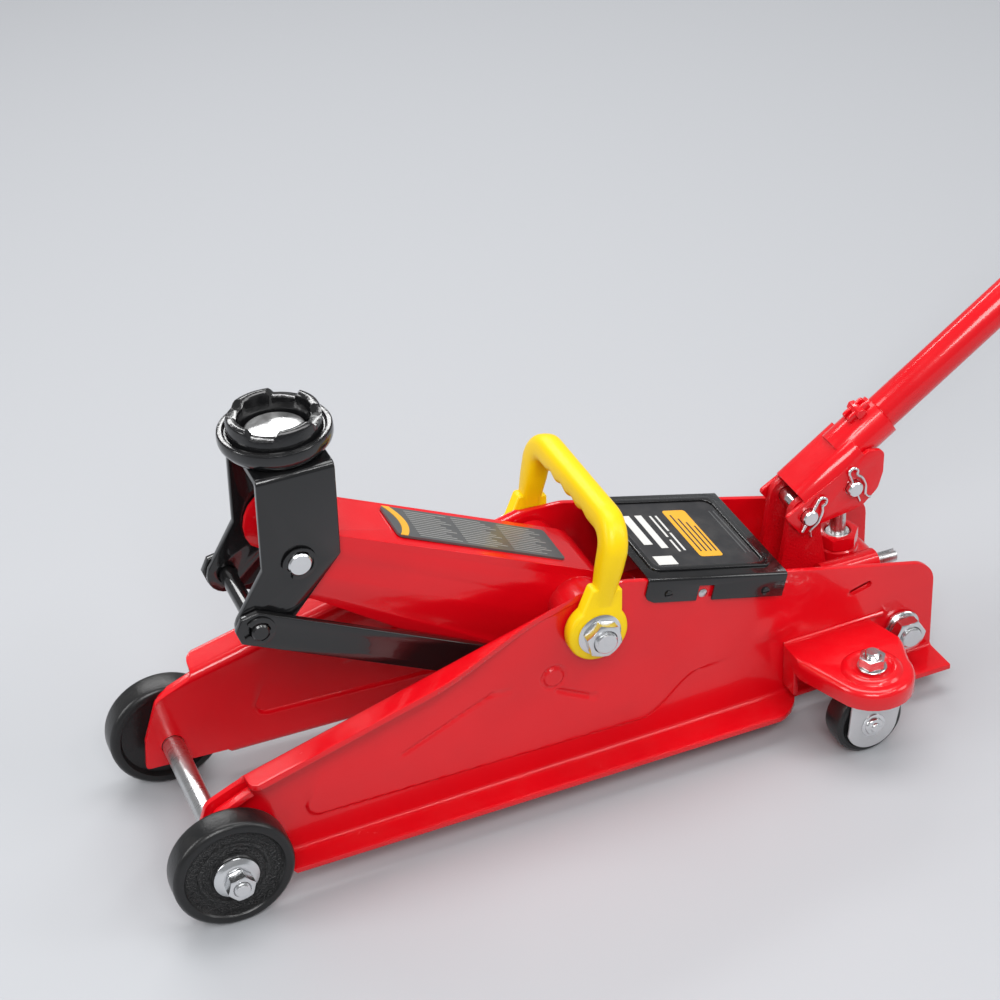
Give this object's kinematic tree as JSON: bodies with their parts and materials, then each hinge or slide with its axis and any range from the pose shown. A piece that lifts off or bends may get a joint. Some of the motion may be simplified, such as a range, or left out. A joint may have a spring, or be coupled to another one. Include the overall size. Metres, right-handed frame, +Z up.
{
  "type": "floor jack",
  "caption": "Low hydraulic floor jack: two pressed side plates, a lift arm with a round saddle, a pump worked by a long handle, two front wheels and swivelling rear casters.",
  "frame": {"origin": "on the floor, below the middle of the jack's length and width with the handle fitted", "axes": "+X from the front wheels towards the handle, +Y to the jack's left, +Z up"},
  "size_m": [0.7904, 0.2058, 0.4076],
  "materials": {
    "red_paint": "glossy red enamel",
    "red_casting": "red enamel over a rough casting",
    "black_paint": "glossy black enamel",
    "saddle_black": "black enamelled casting",
    "zinc": "bright zinc plate",
    "bare_steel": "turned bright steel",
    "wheel_black": "black enamelled casting with a rough face",
    "yellow_plastic": "moulded yellow plastic",
    "grip_rubber": "ribbed black rubber"
  },
  "bodies": {
    "frame": {"side_plate_left": "red_paint", "side_plate_right": "red_paint", "front_axle": "bare_steel", "axle_washer_left": "zinc", "axle_washer_right": "zinc", "axle_nut_left": "zinc", "axle_nut_right": "zinc", "caster_shelf_left": "red_paint", "caster_shelf_right": "red_paint", "caster_kingpin_left": "zinc", "caster_kingpin_right": "zinc", "main_pivot_shaft": "bare_steel", "pivot_nut_left": "zinc", "pivot_nut_right": "zinc", "tie_rod_stud_left": "bare_steel", "tie_rod_stud_right": "bare_steel", "pump_base": "red_casting", "reservoir": "red_paint", "gland_nut": "zinc", "pump_cylinder": "red_paint", "valve_sleeve": "red_paint", "filler_plug": "zinc", "trunnion_bolt_left": "zinc", "trunnion_bolt_right": "zinc", "fulcrum_pin": "zinc", "fulcrum_clip": "zinc", "cover": "black_paint", "cover_screw_left": "black_paint", "cover_screw_right": "black_paint"},
    "front_wheel_right": {"front_wheel_right": "wheel_black"},
    "front_wheel_left": {"front_wheel_left": "wheel_black"},
    "lift_arm": {"lift_arm": "red_paint", "crank_pin": "bare_steel"},
    "saddle_bracket": {"saddle_bracket": "black_paint", "bracket_pin": "zinc", "bracket_pin_ring_left": "black_paint", "bracket_pin_ring_right": "black_paint"},
    "saddle": {"saddle": "saddle_black", "saddle_rivet": "bare_steel"},
    "tie_rods": {"tie_rod_left": "black_paint", "tie_rod_right": "black_paint", "tie_rod_pin": "black_paint", "tie_rod_ring_left": "black_paint", "tie_rod_ring_right": "black_paint"},
    "ram": {"ram_head": "bare_steel", "piston_rod": "bare_steel"},
    "handle_socket": {"handle_socket": "red_paint", "plunger_pin": "zinc", "plunger_clip": "zinc"},
    "pump_plunger": {"pump_plunger": "bare_steel"},
    "handle": {"handle_lower": "red_paint", "handle_upper": "red_paint", "handle_grip": "grip_rubber"},
    "release_valve": {"valve_spindle": "bare_steel"},
    "carry_handle": {"carry_handle": "yellow_plastic"},
    "caster_fork_left": {"caster_fork_left": "zinc"},
    "caster_fork_right": {"caster_fork_right": "zinc"},
    "caster_wheel_left": {"caster_wheel_left": "wheel_black"},
    "caster_wheel_right": {"caster_wheel_right": "wheel_black"}
  },
  "joints": [
    {"name": "front_wheel_right_spin", "type": "hinge", "parent": "frame", "child": "front_wheel_right", "pos_m": [-0.36371, -0.0607, 0.0315], "axis": [0, 1, 0], "continuous": true},
    {"name": "front_wheel_left_spin", "type": "hinge", "parent": "frame", "child": "front_wheel_left", "pos_m": [-0.36371, 0.0607, 0.0315], "axis": [0, 1, 0], "continuous": true},
    {"name": "lift", "type": "hinge", "parent": "frame", "child": "lift_arm", "pos_m": [-0.15721, 0, 0.1015], "axis": [0, 1, 0], "range_deg": [-36, 35]},
    {"name": "bracket_level", "type": "hinge", "parent": "lift_arm", "child": "saddle_bracket", "pos_m": [-0.30221, 0, 0.17442], "axis": [0, 1, 0], "range_deg": [-37, 38]},
    {"name": "saddle_spin", "type": "hinge", "parent": "saddle_bracket", "child": "saddle", "pos_m": [-0.29971, 0, 0.2255], "axis": [0, 0, 1], "continuous": true},
    {"name": "tie_rod_swing", "type": "hinge", "parent": "frame", "child": "tie_rods", "pos_m": [-0.18191, 0, 0.0718], "axis": [0, 1, 0], "range_deg": [-38, 37]},
    {"name": "ram_slide", "type": "slide", "parent": "frame", "child": "ram", "axis": [-1, 0, 0], "range_m": [-0.0215, 0.0205]},
    {"name": "pump_stroke", "type": "hinge", "parent": "frame", "child": "handle_socket", "pos_m": [-0.01721, 0, 0.1093], "axis": [0, -1, 0], "range_deg": [-35, 30]},
    {"name": "plunger_slide", "type": "slide", "parent": "frame", "child": "pump_plunger", "axis": [0, 0, 1], "range_m": [-0.0165, 0.0145]},
    {"name": "handle_pull", "type": "slide", "parent": "handle_socket", "child": "handle", "axis": [0.8211, 0, 0.5707], "range_m": [0, 0.06]},
    {"name": "release_turn", "type": "hinge", "parent": "frame", "child": "release_valve", "pos_m": [0.02229, -0.0205, 0.071], "axis": [1, 0, 0], "range_deg": [0, 180]},
    {"name": "caster_left_swivel", "type": "hinge", "parent": "frame", "child": "caster_fork_left", "pos_m": [-0.01271, 0.08, 0.042], "axis": [0, 0, 1], "continuous": true},
    {"name": "caster_right_swivel", "type": "hinge", "parent": "frame", "child": "caster_fork_right", "pos_m": [-0.01271, -0.08, 0.042], "axis": [0, 0, 1], "continuous": true},
    {"name": "caster_left_roll", "type": "hinge", "parent": "caster_fork_left", "child": "caster_wheel_left", "pos_m": [-0.01671, 0.08, 0.02], "axis": [0, 1, 0], "continuous": true},
    {"name": "caster_right_roll", "type": "hinge", "parent": "caster_fork_right", "child": "caster_wheel_right", "pos_m": [-0.01671, -0.08, 0.02], "axis": [0, 1, 0], "continuous": true},
    {"name": "carry_swing", "type": "hinge", "parent": "frame", "child": "carry_handle", "pos_m": [-0.15721, 0, 0.1015], "axis": [0, 1, 0], "range_deg": [-9, 50]}
  ],
  "couplings": [
    {"joint": "bracket_level", "follows": "lift", "ratio": -1},
    {"joint": "tie_rod_swing", "follows": "lift", "ratio": 1},
    {"joint": "ram_slide", "follows": "lift", "m_per_rad": 0.0325},
    {"joint": "plunger_slide", "follows": "pump_stroke", "m_per_rad": 0.026}
  ]
}
